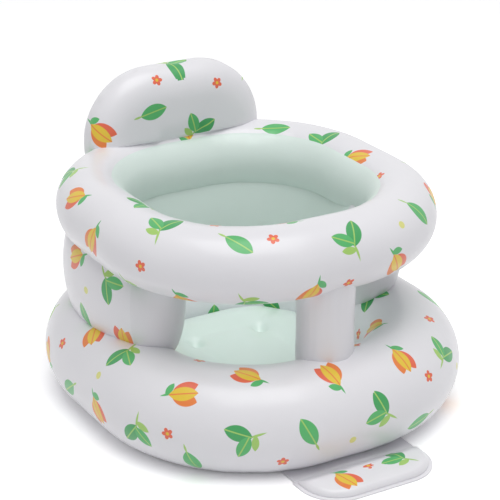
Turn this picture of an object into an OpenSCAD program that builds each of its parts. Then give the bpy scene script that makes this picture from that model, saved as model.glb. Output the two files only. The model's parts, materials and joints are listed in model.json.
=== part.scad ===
// Inflatable baby floor seat. Millimetres, +Z up, origin on the floor under the middle of the seat.
// The front of the seat, with the two leg openings, faces -Y.

/* [Film] */
// Thickness of the PVC film that every air chamber is welded from
film = 0.5; // [0.3:0.05:0.8]
// Gap between neighbouring chambers and panels
gap = 0.3; // [0.2:0.05:0.5]

/* [Base ring] */
// Half of the width, measured to the middle of the tube
base_half_w = 161; // [155:1:170]
// Half of the length, measured to the middle of the tube
base_half_l = 175; // [168:1:182]
// Corner radius of the tube's middle line
base_corner = 135; // [125:1:145]
// Radius of the tube
base_tube = 56; // [52:1:58]
// Height of the tube's middle line; less than its radius, so that the tube is flat where it stands
base_z = 53; // [48:0.5:55]
// How far the ring's middle lies behind the origin
base_back = 9; // [4:1:14]

/* [Arm ring] */
// Half of the width, measured to the middle of the tube
rim_half_w = 156; // [150:1:162]
// Half of the length, measured to the middle of the tube
rim_half_l = 166; // [160:1:172]
// Corner radius of the tube's middle line
rim_corner = 132; // [124:1:140]
// Radius of the tube
rim_tube = 40; // [37:0.5:42]
// Height of the tube's middle line
rim_z = 218; // [212:1:226]
// How far the ring's middle lies behind the origin
rim_back = 21; // [14:1:26]
// Where the printed panel ends at the outside, in degrees round the tube from its outermost line
seam_out_angle = -80; // [-90:5:-60]
// Where the printed panel ends at the inside, over the top of the tube
seam_in_angle = 125; // [110:5:140]

/* [Wall between the rings] */
// How far the wall's middle line lies inside the arm ring's round the back
wall_inset = 1; // [0:0.5:2]
// Half of the wall's thickness between its inner and outer panels
wall_half_t = 36; // [32:1:37]
// Radius of the panels' outward bulge
wall_bulge = 150; // [120:10:200]
// Height at which the wall is thickest
wall_z = 148; // [142:1:154]
// Radius of the arms, which draw in towards the leg openings
arm_radius = 200; // [180:10:240]
// How far each arm turns inwards, in degrees
arm_turn = 22.5; // [18:0.5:25]

/* [Crotch post] */
// Radius of the post between the leg openings
post_r = 32; // [28:1:35]

/* [Headrest] */
// Half of the width
head_half_w = 112; // [104:1:118]
// Height from its underside to its top edge
head_h = 94; // [86:1:104]
// Height of its underside, which overhangs the arm ring, over that ring's middle line
head_lift = 26; // [22:1:30]
// Radius of the rounded upper corners
head_corner = 82; // [70:1:86]
// Half of the thickness, and the radius of the rounded edge
head_half_t = 29; // [25:1:32]
// Distance of the pillow's middle from the origin
head_y = 190; // [186:1:194]

/* [Seat cushion] */
// Thickness at the edge
cushion_edge = 46; // [40:1:47]
// Extra height of the crown at the middle
cushion_crown = 9; // [5:1:12]
// Radius of the crown's outline
cushion_crown_r = 84; // [76:1:88]
// Radius of the hollow round each weld dot
dot_r = 24; // [18:1:28]
// Depth of the hollow that each weld dot draws in
dot_depth = 10; // [6:1:12]
// Distance of the weld dots from the cushion's middle, sideways
dot_x = 40; // [36:1:46]
// Distance of the weld dots from the cushion's middle, lengthways
dot_y = 48; // [42:1:54]

/* [Foot pump] */
// Half of the flap's width
flap_half_w = 78; // [72:1:82]
// Length from the fold where the flap starts to its front edge
flap_l = 60; // [58:1:68]
// Corner radius of the flap
flap_corner = 44; // [36:1:46]
// Width of the flat welded border
flap_border_w = 4; // [3:0.5:6]
// Extra width of the border along the fold
fold_w = 6; // [5:0.5:8]
// Thickness of the welded border
flap_border_t = 1.2; // [0.8:0.1:1.6]
// Height of the pump pad's crown over the floor
pad_top = 10.5; // [10:0.5:12]
// Radius of the pad's crown
pad_crown = 600; // [500:20:700]
// How far the pad goes down under a foot
pad_travel = 4; // [2:0.5:4.5]
// Radius of the air intake's hole in the flap's underside
intake_r = 4; // [3:0.5:5]
// Width of the intake's moulded ring round its hole
intake_w = 3.5; // [3:0.5:5]
// Height of the intake's moulded ring
intake_t = 1; // [0.8:0.1:1.4]
// Half of the width of the air duct between the base ring's foot and the flap
duct_half_w = 24; // [16:1:25]
// Length of the duct up to the fold
duct_l = 22.5; // [20:0.5:26]
// Height of the duct
duct_h = 4; // [3:0.5:6]

/* [Air valves] */
// Outer radius of the stem
stem_r = 8.6; // [8.2:0.1:9.4]
// Bore radius of the stem
stem_bore = 6.2; // [5.8:0.1:6.6]
// How far the stem still stands out of the seat's flange when it is pushed in
stem_left = 3; // [2:0.5:5]
// How deep the stem reaches into the chamber
stem_in = 14; // [12.5:0.5:18]
// How far the stem can be pushed in
stem_travel = 5; // [3:0.5:6]
// Running clearance of the stem in its seat
stem_play = 0.08; // [0.05:0.01:0.1]
// Thickness and width of the collar that keeps the stem from being pulled out
collar = 1.5; // [1:0.1:2]
// Depth of the seat's neck round the stem
neck_in = 8; // [6:0.5:9]
// Wall of the seat's neck round the stem
neck_wall = 1.8; // [1.4:0.1:2.4]
// Width of the seat's welded flange round the neck
flange_w = 6; // [4:0.5:6]
// Thickness of the flange
flange_t = 0.8; // [0.6:0.1:1.2]
// Gap between the flange and the film that it is welded to
flange_seat = 0.1; // [0.05:0.05:0.2]
// Radius of the plug's head
plug_r = 7.6; // [7:0.1:8.4]
// Thickness of the plug's head
plug_t = 1.6; // [1.2:0.1:2.4]
// Length of the plug's stopper
stopper_l = 3.5; // [2.5:0.1:3.5]
// Clearance round the root of the stopper, which lets it swing out of the bore
stopper_play = 0.5; // [0.5:0.05:0.7]
// How much narrower the stopper is at its tip
stopper_taper = 0.7; // [0.6:0.1:1]
// Distance from the plug's middle to the bend of its strap
strap_reach = 11.5; // [11:0.1:13]
// Width of the strap
strap_w = 5; // [4:0.5:6]
// Thickness of the strap, and of the ear that it bends over
strap_t = 1; // [0.8:0.1:1.2]
// Length of the plug's pull tab
tab_l = 5; // [3:0.5:7]
// Thickness of the soft flap that closes the stem from inside
check_t = 0.8; // [0.5:0.1:1.2]
// How far that flap overlaps the end of the bore
check_lap = 1.2; // [0.8:0.1:1.6]
// How far the headrest's flange stays below the round top edge
flange_room = 1.5; // [0.5:0.5:3]

/* [Hidden] */
// Facets of a full turn, the overrun of cutting solids, and a length past any section
fine = 96;
over = 1;
past = 2 * rim_half_w;
// Width of the flat on which the base ring's tube stands, outwards from its middle line
foot = sqrt(pow(base_tube, 2) - pow(base_z - film, 2));
seam_split = 2 * asin(gap / 2 / rim_tube);
wall_reach = rim_corner - wall_inset;
wall_x = rim_half_w - rim_corner;
wall_y = rim_back + rim_half_l - rim_corner;
arm_x = wall_x + wall_reach - arm_radius;
arm_end = [arm_x + arm_radius * cos(arm_turn), wall_y - arm_radius * sin(arm_turn)];
post_y = rim_back - rim_half_l;
base_rear = base_back + base_half_l + base_tube;
wall_rear = wall_y + wall_reach + wall_half_t;
head_rear = head_y + head_half_t;
head_foot = rim_z + head_lift;
head_top = head_foot + head_h;
head_shoulder = head_top - head_corner;
cushion_floor = film + gap;
cushion_in = sqrt(pow(base_tube + cushion_edge / 2 + gap, 2) - pow(base_z - cushion_floor - cushion_edge / 2, 2));
cushion_w = base_half_w - cushion_in;
cushion_l = base_half_l - cushion_in;
cushion_corner = base_corner - cushion_in;
cushion_top = cushion_floor + cushion_edge;
crown_ball = (pow(cushion_crown_r, 2) + pow(cushion_crown, 2)) / (2 * cushion_crown);
// Distances of the flap's fold and front edge from the origin
flap_root = base_half_l - base_back + foot + duct_l;
flap_front = flap_root + flap_l;
flap_mid = (flap_root + flap_front) / 2;
duct_wall = 2 * film;
pad_in = flap_border_w + gap;
foam_in = pad_in + film + gap;
intake_out = intake_r + intake_w;
pad_floor = film + pad_travel + gap;
neck_r = stem_r + stem_play + neck_wall;
flange_r = neck_r + flange_w;
head_valve_z = head_top - head_half_t - flange_r - flange_room;
stem_top = flange_seat + flange_t + stem_left + stem_travel;
strap_z = stem_top + gap;
check_r = stem_bore + check_lap;

// Carries a section round a rounded rectangle. Its x is the distance outwards from the path.
module round_loop(half_w, half_l, corner) {
  side_x = half_w - corner;
  side_y = half_l - corner;
  for (q = [0 : 3]) {
    mx = (q == 0 || q == 3) ? 1 : -1;
    my = q < 2 ? 1 : -1;
    translate([mx * side_x, my * side_y, 0])
      rotate(90 * q)
        rotate_extrude(angle = 90, $fn = fine) translate([corner, 0]) children();
  }
  for (turn = [0, 180]) {
    rotate(turn) translate([half_w, 0, 0]) rotate([90, 0, 0])
      linear_extrude(2 * side_y, center = true) children();
    rotate(turn + 90) translate([half_l, 0, 0]) rotate([90, 0, 0])
      linear_extrude(2 * side_x, center = true) children();
  }
}

module base_loop() {
  translate([0, base_back, 0]) round_loop(base_half_w, base_half_l, base_corner) children();
}

module rim_loop() {
  translate([0, rim_back, 0]) round_loop(rim_half_w, rim_half_l, rim_corner) children();
}

// The wall's path: round the back like the arm ring, then drawn in towards the leg openings.
module wall_loop() {
  for (side = [0, 1]) mirror([side, 0, 0]) {
    translate([wall_x, wall_y, 0])
      rotate_extrude(angle = 90, $fn = fine) translate([wall_reach, 0]) children();
    translate([arm_x, wall_y, 0])
      rotate_extrude(angle = arm_turn, start = -arm_turn, $fn = fine * 2) translate([arm_radius, 0]) children();
  }
  translate([0, wall_y + wall_reach, 0]) rotate([90, 0, 90])
    linear_extrude(2 * wall_x, center = true) children();
}

// Sections have x outwards and y up.
module base_section(grow) {
  translate([0, base_z]) circle(base_tube + grow, $fn = fine);
}

module rim_section(grow) {
  translate([0, rim_z]) circle(rim_tube + grow, $fn = fine);
}

// A wedge of the arm ring's section from one angle to another, measured from outwards.
// Its four straight edges stay outside the tube.
module wedge(from, to, reach) {
  steps = 4;
  turn = (to - from) / steps;
  polygon(concat([[0, 0]], [for (i = [0 : steps]) reach * [cos(from + i * turn), sin(from + i * turn)]]));
}

// The wall's section: a lens between two bulged panels, running past both rings.
module wall_section(shrink) {
  far = wall_bulge - wall_half_t;
  intersection() {
    translate([-far, wall_z]) circle(wall_bulge - shrink, $fn = fine * 2);
    translate([far, wall_z]) circle(wall_bulge - shrink, $fn = fine * 2);
    translate([-past / 2, base_z]) square([past, rim_z - base_z]);
  }
}

// The whole rings, which cut their neighbours.
module base_body(grow) {
  base_loop() base_section(grow);
}

module rim_body(grow) {
  rim_loop() rim_section(grow);
}

module base_ring() {
  color("#f2f1f5") difference() {
    base_loop() difference() {
      intersection() {
        base_section(0);
        translate([-past / 2, film]) square([past, past]);
      }
      intersection() {
        base_section(-film);
        translate([-past / 2, film + film]) square([past, past]);
      }
    }
    valve_hole(base_rear, base_z);
  }
}

module floor_sheet() {
  color("#e9e9ee") translate([0, base_back, 0]) linear_extrude(film)
    rounded_plate(base_half_w + foot, base_half_l + foot, base_corner + foot);
}

module rounded_plate(half_w, half_l, corner) {
  square([2 * half_w, 2 * (half_l - corner)], center = true);
  square([2 * (half_w - corner), 2 * half_l], center = true);
  for (x = [-1, 1]) for (y = [-1, 1])
    translate([x * (half_w - corner), y * (half_l - corner)]) circle(corner, $fn = fine);
}

module wall_shell(side) {
  difference() {
    wall_loop() intersection() {
      difference() {
        wall_section(0);
        wall_section(film);
      }
      translate([side > 0 ? 0 : -past, 0]) square([past, past]);
    }
    base_body(gap);
    rim_body(gap);
  }
}

module wall_outer_panel() {
  color("#efeef3") difference() {
    wall_shell(1);
    valve_hole(wall_rear, wall_z);
  }
}

module wall_inner_panel() {
  color("#c5dcd3") wall_shell(-1);
}

module leg_opening_panels() {
  color("#e8e7ec") for (side = [0, 1]) mirror([side, 0, 0]) difference() {
    translate([arm_end.x, arm_end.y, 0]) rotate(180 - arm_turn) translate([0, gap, 0])
      rotate_extrude(angle = 180, $fn = fine) intersection() {
        difference() {
          wall_section(0);
          wall_section(film);
        }
        square([past, past]);
      }
    base_body(gap);
    rim_body(gap);
  }
}

module arm_ring_print_panel() {
  color("#f4f3f7") rim_loop() intersection() {
    difference() {
      rim_section(0);
      rim_section(-film);
    }
    translate([0, rim_z]) wedge(seam_out_angle, seam_in_angle, 2 * rim_tube);
  }
}

module arm_ring_mint_panel() {
  color("#c5dcd3") rim_loop() intersection() {
    difference() {
      rim_section(0);
      rim_section(-film);
    }
    translate([0, rim_z]) wedge(seam_in_angle + seam_split, 360 + seam_out_angle - seam_split, 2 * rim_tube);
  }
}

module crotch_post() {
  color("#e6e6e9") difference() {
    translate([0, post_y, base_z]) cylinder(r = post_r, h = rim_z - base_z, $fn = fine);
    translate([0, post_y, base_z - over]) cylinder(r = post_r - film, h = rim_z - base_z + 2 * over, $fn = fine);
    base_body(gap);
    rim_body(gap);
  }
}

// The headrest stands on the arm ring: straight sides below, rounded upper corners, round edges.
module headrest_body(shrink) {
  mid_x = head_half_w - head_corner;
  translate([0, head_y, head_shoulder]) {
    rotate([90, 0, 0]) for (side = [0, 1]) mirror([side, 0, 0]) translate([mid_x, 0, 0])
      rotate_extrude(angle = 90, $fn = fine) headrest_edge(head_corner, shrink);
    rotate([90, 0, 90]) rotate(90) linear_extrude(2 * mid_x, center = true) headrest_edge(head_corner, shrink);
  }
  translate([0, head_y, head_foot + shrink]) linear_extrude(head_shoulder - head_foot - shrink)
    for (side = [0, 1]) mirror([side, 0]) headrest_edge(head_half_w, shrink);
}

// From the middle outwards to a round edge.
module headrest_edge(reach, shrink) {
  r = head_half_t - shrink;
  translate([reach - head_half_t, 0]) circle(r, $fn = fine);
  translate([0, -r]) square([reach - head_half_t, 2 * r]);
}

module headrest() {
  color("#f2f1f5") difference() {
    headrest_body(0);
    difference() {
      headrest_body(film);
      rim_body(gap + film);
    }
    rim_body(gap);
    valve_hole(head_rear, head_valve_z);
  }
}

// A flat pillow with a crown and four hollows that its weld dots draw in.
module cushion_body(shrink) {
  r = cushion_edge / 2;
  difference() {
    union() {
      round_loop(cushion_w, cushion_l, cushion_corner)
        translate([0, cushion_floor + r]) circle(r - shrink, $fn = fine);
      translate([0, 0, cushion_floor + shrink]) linear_extrude(cushion_edge - 2 * shrink)
        rounded_plate(cushion_w, cushion_l, cushion_corner);
      intersection() {
        translate([0, 0, cushion_top + cushion_crown - crown_ball]) sphere(crown_ball - shrink, $fn = fine * 2);
        translate([0, 0, cushion_floor + r]) cylinder(r = cushion_crown_r, h = cushion_edge, $fn = fine);
      }
    }
    for (x = [-1, 1]) for (y = [-1, 1])
      translate([x * dot_x, y * dot_y, cushion_top + dot_r - dot_depth / 2]) sphere(dot_r + shrink, $fn = fine);
  }
}

module seat_cushion() {
  color("#c5dcd3") translate([0, base_back, 0]) difference() {
    cushion_body(0);
    cushion_body(film);
  }
}

// The foot pump is a flap that lies on the floor in front. Its outline is cut square at the fold.
module flap_outline(in, fold) {
  half_w = flap_half_w - in;
  front = flap_front - in;
  root = flap_root + gap + in + fold;
  corner = flap_corner - in;
  intersection() {
    translate([-half_w, -front]) square([2 * half_w, front - root]);
    union() {
      translate([-half_w, corner - front]) square([2 * half_w, front - corner]);
      translate([corner - half_w, -front]) square([2 * (half_w - corner), front]);
      for (x = [-1, 1]) translate([x * (half_w - corner), corner - front]) circle(corner, $fn = fine);
    }
  }
}

module pump_duct() {
  color("#ededf1") difference() {
    translate([-duct_half_w, -flap_root, 0]) cube([2 * duct_half_w, duct_l, duct_h]);
    translate([duct_wall - duct_half_w, -flap_root - duct_wall, duct_wall])
      cube([2 * (duct_half_w - duct_wall), duct_l, duct_h - 2 * duct_wall]);
    base_body(gap);
  }
}

module pump_flap_sheet() {
  color("#ededf1") linear_extrude(film) difference() {
    flap_outline(0, 0);
    translate([0, -flap_mid]) circle(intake_r, $fn = fine);
  }
}

module pump_flap_border() {
  color("#f2f1f5") translate([0, 0, film]) linear_extrude(flap_border_t) difference() {
    flap_outline(0, 0);
    flap_outline(flap_border_w, fold_w);
  }
}

module pad_body(in, shrink, floor_z) {
  intersection() {
    translate([0, 0, floor_z]) linear_extrude(2 * pad_top) flap_outline(in, fold_w);
    translate([0, -flap_mid, pad_top - pad_crown]) sphere(pad_crown - shrink, $fn = fine * 4);
  }
}

module pump_foam() {
  color("#f3ecd2") difference() {
    pad_body(foam_in, film + gap, film);
    translate([0, -flap_mid, 0]) cylinder(r = intake_out + gap, h = film + intake_t + gap, $fn = fine);
  }
}

module pump_pad() {
  color("#f2f1f5") difference() {
    pad_body(pad_in, 0, pad_floor);
    pad_body(pad_in + film, film, 0);
  }
}

module pump_intake_ring() {
  color("#d8d8de") translate([0, -flap_mid, film]) difference() {
    cylinder(r = intake_out, h = intake_t, $fn = fine);
    translate([0, 0, -over]) cylinder(r = intake_r, h = intake_t + 2 * over, $fn = fine);
  }
}

// Places an air valve at the back. In the valve's own frame z points out of the seat and x up.
module on_back(rear, height) {
  translate([0, rear, height]) rotate([-90, 0, 0]) rotate(-90) children();
}

module valve_hole(rear, height) {
  on_back(rear, height) translate([0, 0, -neck_in]) cylinder(r = neck_r + gap, h = 2 * neck_in, $fn = fine);
}

// The flange follows film that is bent round a horizontal line; a bend of 0 means flat film.
module valve_flange(bend) {
  if (bend > 0) intersection() {
    translate([0, 0, -neck_in]) cylinder(r = flange_r, h = 2 * neck_in, $fn = fine);
    translate([0, 0, -bend]) rotate([90, 0, 0]) difference() {
      cylinder(r = bend + flange_seat + flange_t, h = 3 * flange_r, center = true, $fn = fine * 3);
      cylinder(r = bend + flange_seat, h = 4 * flange_r, center = true, $fn = fine * 3);
    }
  }
  else translate([0, 0, flange_seat]) cylinder(r = flange_r, h = flange_t, $fn = fine);
}

module valve_seat(bend) {
  color("#dfe3e6") difference() {
    union() {
      valve_flange(bend);
      translate([0, 0, -neck_in]) cylinder(r = neck_r, h = neck_in + flange_seat + flange_t, $fn = fine);
    }
    translate([0, 0, -2 * neck_in]) cylinder(r = stem_r + stem_play, h = 4 * neck_in, $fn = fine);
  }
}

module valve_stem() {
  color("#e6eaec") difference() {
    union() {
      translate([0, 0, -stem_in]) cylinder(r = stem_r, h = stem_in + stem_top, $fn = fine);
      translate([0, 0, -neck_in - gap - collar]) cylinder(r = stem_r + collar, h = collar, $fn = fine);
      translate([stem_bore, -strap_w / 2, stem_top - strap_t]) cube([strap_reach - stem_bore, strap_w, strap_t]);
    }
    translate([0, 0, -2 * stem_in]) cylinder(r = stem_bore, h = 4 * stem_in, $fn = fine);
  }
}

module valve_plug() {
  root_r = stem_bore - stopper_play;
  color("#eef1f3") translate([0, 0, strap_z]) {
    cylinder(r = plug_r, h = plug_t, $fn = fine);
    translate([0, 0, -stopper_l]) cylinder(r1 = root_r - stopper_taper, r2 = root_r, h = stopper_l, $fn = fine);
    translate([0, -strap_w / 2, 0]) cube([strap_reach, strap_w, strap_t]);
    translate([-plug_r - tab_l, -strap_w / 2, 0]) cube([plug_r + tab_l, strap_w, plug_t]);
  }
}

module valve_check() {
  color("#f4f6f7") translate([0, 0, -stem_in - gap - check_t]) cylinder(r = check_r, h = check_t, $fn = fine);
}

base_ring();
floor_sheet();
seat_cushion();
wall_outer_panel();
wall_inner_panel();
leg_opening_panels();
arm_ring_print_panel();
arm_ring_mint_panel();
crotch_post();
headrest();
pump_duct();
pump_flap_sheet();
pump_flap_border();
pump_foam();
pump_pad();
pump_intake_ring();
on_back(base_rear, base_z) valve_seat(base_tube);  // base_valve_seat
on_back(base_rear, base_z) valve_stem();  // base_valve_stem
on_back(base_rear, base_z) valve_plug();  // base_valve_plug
on_back(base_rear, base_z) valve_check();  // base_valve_check
on_back(wall_rear, wall_z) valve_seat(wall_bulge);  // wall_valve_seat
on_back(wall_rear, wall_z) valve_stem();  // wall_valve_stem
on_back(wall_rear, wall_z) valve_plug();  // wall_valve_plug
on_back(wall_rear, wall_z) valve_check();  // wall_valve_check
on_back(head_rear, head_valve_z) valve_seat(0);  // head_valve_seat
on_back(head_rear, head_valve_z) valve_stem();  // head_valve_stem
on_back(head_rear, head_valve_z) valve_plug();  // head_valve_plug
on_back(head_rear, head_valve_z) valve_check();  // head_valve_check
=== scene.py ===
import json
import math
import random
import bmesh
import bpy
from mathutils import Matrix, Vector, kdtree, noise


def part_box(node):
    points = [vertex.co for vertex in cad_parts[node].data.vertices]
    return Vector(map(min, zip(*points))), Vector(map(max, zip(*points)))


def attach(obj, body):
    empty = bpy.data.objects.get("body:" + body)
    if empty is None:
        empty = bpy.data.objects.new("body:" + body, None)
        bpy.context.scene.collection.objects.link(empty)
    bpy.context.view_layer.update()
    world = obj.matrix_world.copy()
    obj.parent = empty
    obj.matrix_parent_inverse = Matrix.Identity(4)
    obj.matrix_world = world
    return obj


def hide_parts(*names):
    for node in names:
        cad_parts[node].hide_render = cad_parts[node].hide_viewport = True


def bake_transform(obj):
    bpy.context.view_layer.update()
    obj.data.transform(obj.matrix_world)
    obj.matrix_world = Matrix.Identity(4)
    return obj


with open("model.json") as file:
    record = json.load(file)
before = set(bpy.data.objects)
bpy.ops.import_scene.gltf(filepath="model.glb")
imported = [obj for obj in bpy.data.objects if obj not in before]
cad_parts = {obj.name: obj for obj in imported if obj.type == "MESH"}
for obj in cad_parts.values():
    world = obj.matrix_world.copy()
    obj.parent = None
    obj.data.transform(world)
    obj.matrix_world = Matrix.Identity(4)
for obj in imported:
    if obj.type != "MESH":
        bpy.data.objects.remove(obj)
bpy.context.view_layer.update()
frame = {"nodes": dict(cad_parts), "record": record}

print("frame loaded:", len(frame["nodes"]), "solids")

def toLinear(hexColour):
    parts = [int(hexColour[i:i + 2], 16) / 255 for i in (1, 3, 5)]
    return tuple(c / 12.92 if c <= 0.04045 else ((c + 0.055) / 1.055) ** 2.4 for c in parts) + (1,)


def addNode(tree, kind, inputs=None, **settings):  # an input is linked if it is a socket, else set
    node = tree.nodes.new("ShaderNode" + kind)
    for name, value in settings.items():
        setattr(node, name, value)
    for key, value in (inputs or {}).items():
        if isinstance(value, bpy.types.NodeSocket):
            tree.links.new(value, node.inputs[key])
        else:
            node.inputs[key].default_value = value
    return node


def smoothStep(low, high, value):
    t = min(max((value - low) / (high - low), 0), 1)
    return t * t * (3 - 2 * t)


def selectOnly(piece):
    bpy.ops.object.select_all(action="DESELECT")
    bpy.context.view_layer.objects.active = piece
    piece.select_set(True)


def startPiece(name):  # after a primitive was added: named, with its place in its mesh
    piece = bpy.context.object
    piece.name = name
    piece.data.name = name
    selectOnly(piece)
    bpy.ops.object.transform_apply(location=True, rotation=True, scale=True)
    bpy.ops.object.mode_set(mode="EDIT")
    bpy.ops.mesh.select_all(action="SELECT")
    return piece


def pickParts(piece, kind, test):  # in edit mode: selects the verts, edges or faces that pass the test
    bpy.ops.mesh.select_all(action="DESELECT")
    bpy.context.tool_settings.mesh_select_mode = [kind == "verts", kind == "edges", kind == "faces"]
    mesh = bmesh.from_edit_mesh(piece.data)
    for part in getattr(mesh, kind):
        if test(part):
            part.select_set(True)
    mesh.select_flush_mode()
    bmesh.update_edit_mesh(piece.data)


def closeUp(piece):  # merges doubles, turns faces outwards and leaves edit mode
    bpy.context.tool_settings.mesh_select_mode = [True, False, False]
    bpy.ops.mesh.select_all(action="SELECT")
    bpy.ops.mesh.remove_doubles(threshold=1e-5)
    bpy.ops.mesh.normals_make_consistent(inside=False)
    bpy.ops.object.mode_set(mode="OBJECT")


def applyModifier(piece, kind, **settings):
    selectOnly(piece)
    modifier = piece.modifiers.new(kind.title(), kind)
    for name, value in settings.items():
        setattr(modifier, name, value)
    bpy.ops.object.modifier_apply(modifier=modifier.name)


def finishPiece(piece, material, body, nodes, angle=60):
    selectOnly(piece)
    bpy.ops.object.shade_smooth_by_angle(angle=math.radians(angle))
    piece.data.materials.clear()
    piece.data.materials.append(material)
    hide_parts(*nodes)
    if body:
        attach(piece, body)


view = {"turn": -30.5, "height": 22.45, "distance": 2.0, "lens": 129.6,
        "aimZ": 0.150, "aimRight": -0.0051, "aimUp": 0.0192}
turn, height = math.radians(view["turn"]), math.radians(view["height"])
backWay = Vector((math.sin(turn) * math.cos(height), -math.cos(turn) * math.cos(height), math.sin(height)))
rightWay = Vector((math.cos(turn), math.sin(turn), 0))
aim = Vector((0, 0, view["aimZ"])) + rightWay * view["aimRight"] + backWay.cross(rightWay) * view["aimUp"]
bpy.ops.object.camera_add(location=aim + backWay * view["distance"])
camera = bpy.context.object
camera.name = "camera"
camera.rotation_mode = "QUATERNION"
camera.rotation_quaternion = (-backWay).to_track_quat("-Z", "Y")
camera.data.lens = view["lens"]
camera.data.sensor_width = 36
bpy.context.scene.camera = camera

studio = {"floorSize": 8, "floorColour": "#F2F2F3", "floorBoost": 0.57, "worldLight": 0.37,
          "keyPower": 100, "keySize": 3.4, "keyPlace": (-0.3, -0.9, 4.0), "keyAim": (0, 0, 0.15)}


def addSeenRays(tree):  # 1 for the camera's rays and for those that gloss or glass sends on, else 0
    rays = addNode(tree, "LightPath")
    seen = rays.outputs["Is Camera Ray"]
    for kind in ("Is Glossy Ray", "Is Transmission Ray"):
        seen = addNode(tree, "Math", {0: seen, 1: rays.outputs[kind]}, operation="MAXIMUM").outputs[0]
    return seen


def makeFloor():
    bpy.ops.mesh.primitive_plane_add(size=studio["floorSize"])
    floor = bpy.context.object
    floor.name = "floor"
    # pale seamless paper, exposed to white for the camera
    paper = bpy.data.materials.new("studio_paper_matt")
    paper.use_nodes = True
    tree = paper.node_tree
    tree.nodes["Principled BSDF"].inputs["Base Color"].default_value = toLinear(studio["floorColour"])
    tree.nodes["Principled BSDF"].inputs["Roughness"].default_value = 1
    boost = addNode(tree, "Math", {0: addSeenRays(tree), 1: studio["floorBoost"]}, operation="MULTIPLY")
    extra = addNode(tree, "BsdfDiffuse", {"Color": boost.outputs[0]})
    both = addNode(tree, "AddShader", {0: tree.nodes["Principled BSDF"].outputs[0], 1: extra.outputs[0]})
    tree.links.new(both.outputs[0], tree.nodes["Material Output"].inputs[0])
    floor.data.materials.append(paper)


def makeLight():
    world = bpy.data.worlds.new("studio")
    bpy.context.scene.world = world
    world.use_nodes = True
    tree = world.node_tree
    strength = addNode(tree, "Mix", {"Factor": addSeenRays(tree), "A": studio["worldLight"], "B": 1.0})
    tree.nodes["Background"].inputs["Color"].default_value = (1, 1, 1, 1)
    tree.links.new(strength.outputs[0], tree.nodes["Background"].inputs["Strength"])
    bpy.ops.object.light_add(type="AREA", location=studio["keyPlace"])
    key = bpy.context.object
    key.name = "key"
    key.data.energy = studio["keyPower"]
    key.data.size = studio["keySize"]
    key.rotation_mode = "QUATERNION"
    keyWay = Vector(studio["keyAim"]) - Vector(studio["keyPlace"])
    key.rotation_quaternion = keyWay.to_track_quat("-Z", "Y")


makeFloor()
makeLight()
bpy.context.scene.view_settings.view_transform = "Standard"
print("camera, floor and light set")

# The print: each motif is drawn in millimetres round its own middle. A leaf is (middle, turn, half width,
# half length, colour, rib colour); kind 4 is a five-petalled blossom and kind 5 a dot.
printInk = {"deepGreen": "#3DA65C", "green": "#52B96A", "paleGreen": "#A9D46C", "yellow": "#EFCB35",
            "orange": "#F0843A", "coral": "#EE6A48", "paleYellow": "#E6E58C"}
printLeaves = {
    1: [((0.5, -9), 4, 0.9, 7.0, "paleGreen", None),
        ((5.8, -5.4), -68, 2.8, 6.4, "paleGreen", None),
        ((-5.4, 3.6), 36, 6.0, 10.6, "deepGreen", "paleGreen"),
        ((5.8, 3.4), -44, 5.0, 9.4, "green", "paleGreen")],
    2: [((0.4, -11), -6, 0.9, 5.4, "green", None),
        ((4.4, -9.0), -56, 2.6, 5.4, "green", None),
        ((-4.0, 2.4), 18, 5.4, 10.2, "orange", None),
        ((4.0, 2.4), -18, 5.4, 10.2, "coral", None),
        ((0, 1.6), 0, 5.4, 11.2, "yellow", "orange")],
    3: [((0, 1.5), 0, 6.4, 12.0, "green", "paleGreen"),
        ((0, -13), 0, 0.9, 4.0, "paleGreen", None)],
}
# unit is what one step of the motifPlace map stands for, in metres
printSizes = {"unit": 0.030, "grow": 1.42, "edge": 0.40, "rib": 0.5, "kindNear": 0.4,
              "blossomKind": 4, "petals": 5, "blossomR": 2.7, "blossomWave": 2.0, "blossomHeart": 1.3,
              "dotKind": 5, "dotR": 2.9}


def addMask(tree, inside, width):  # 1 inside a shape, where inside is above 0, with a soft edge
    return addNode(tree, "Math", {0: inside, 1: 1 / width, 2: 0.5}, operation="MULTIPLY_ADD",
                   use_clamp=True).outputs[0]


def addInk(tree, under, ink, mask, kindMask):
    amount = addNode(tree, "Math", {0: mask, 1: kindMask}, operation="MULTIPLY")
    mix = addNode(tree, "Mix", {"Factor": amount.outputs[0], 6: under, 7: toLinear(printInk[ink])},
                  data_type="RGBA")
    return mix.outputs[2]


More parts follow.
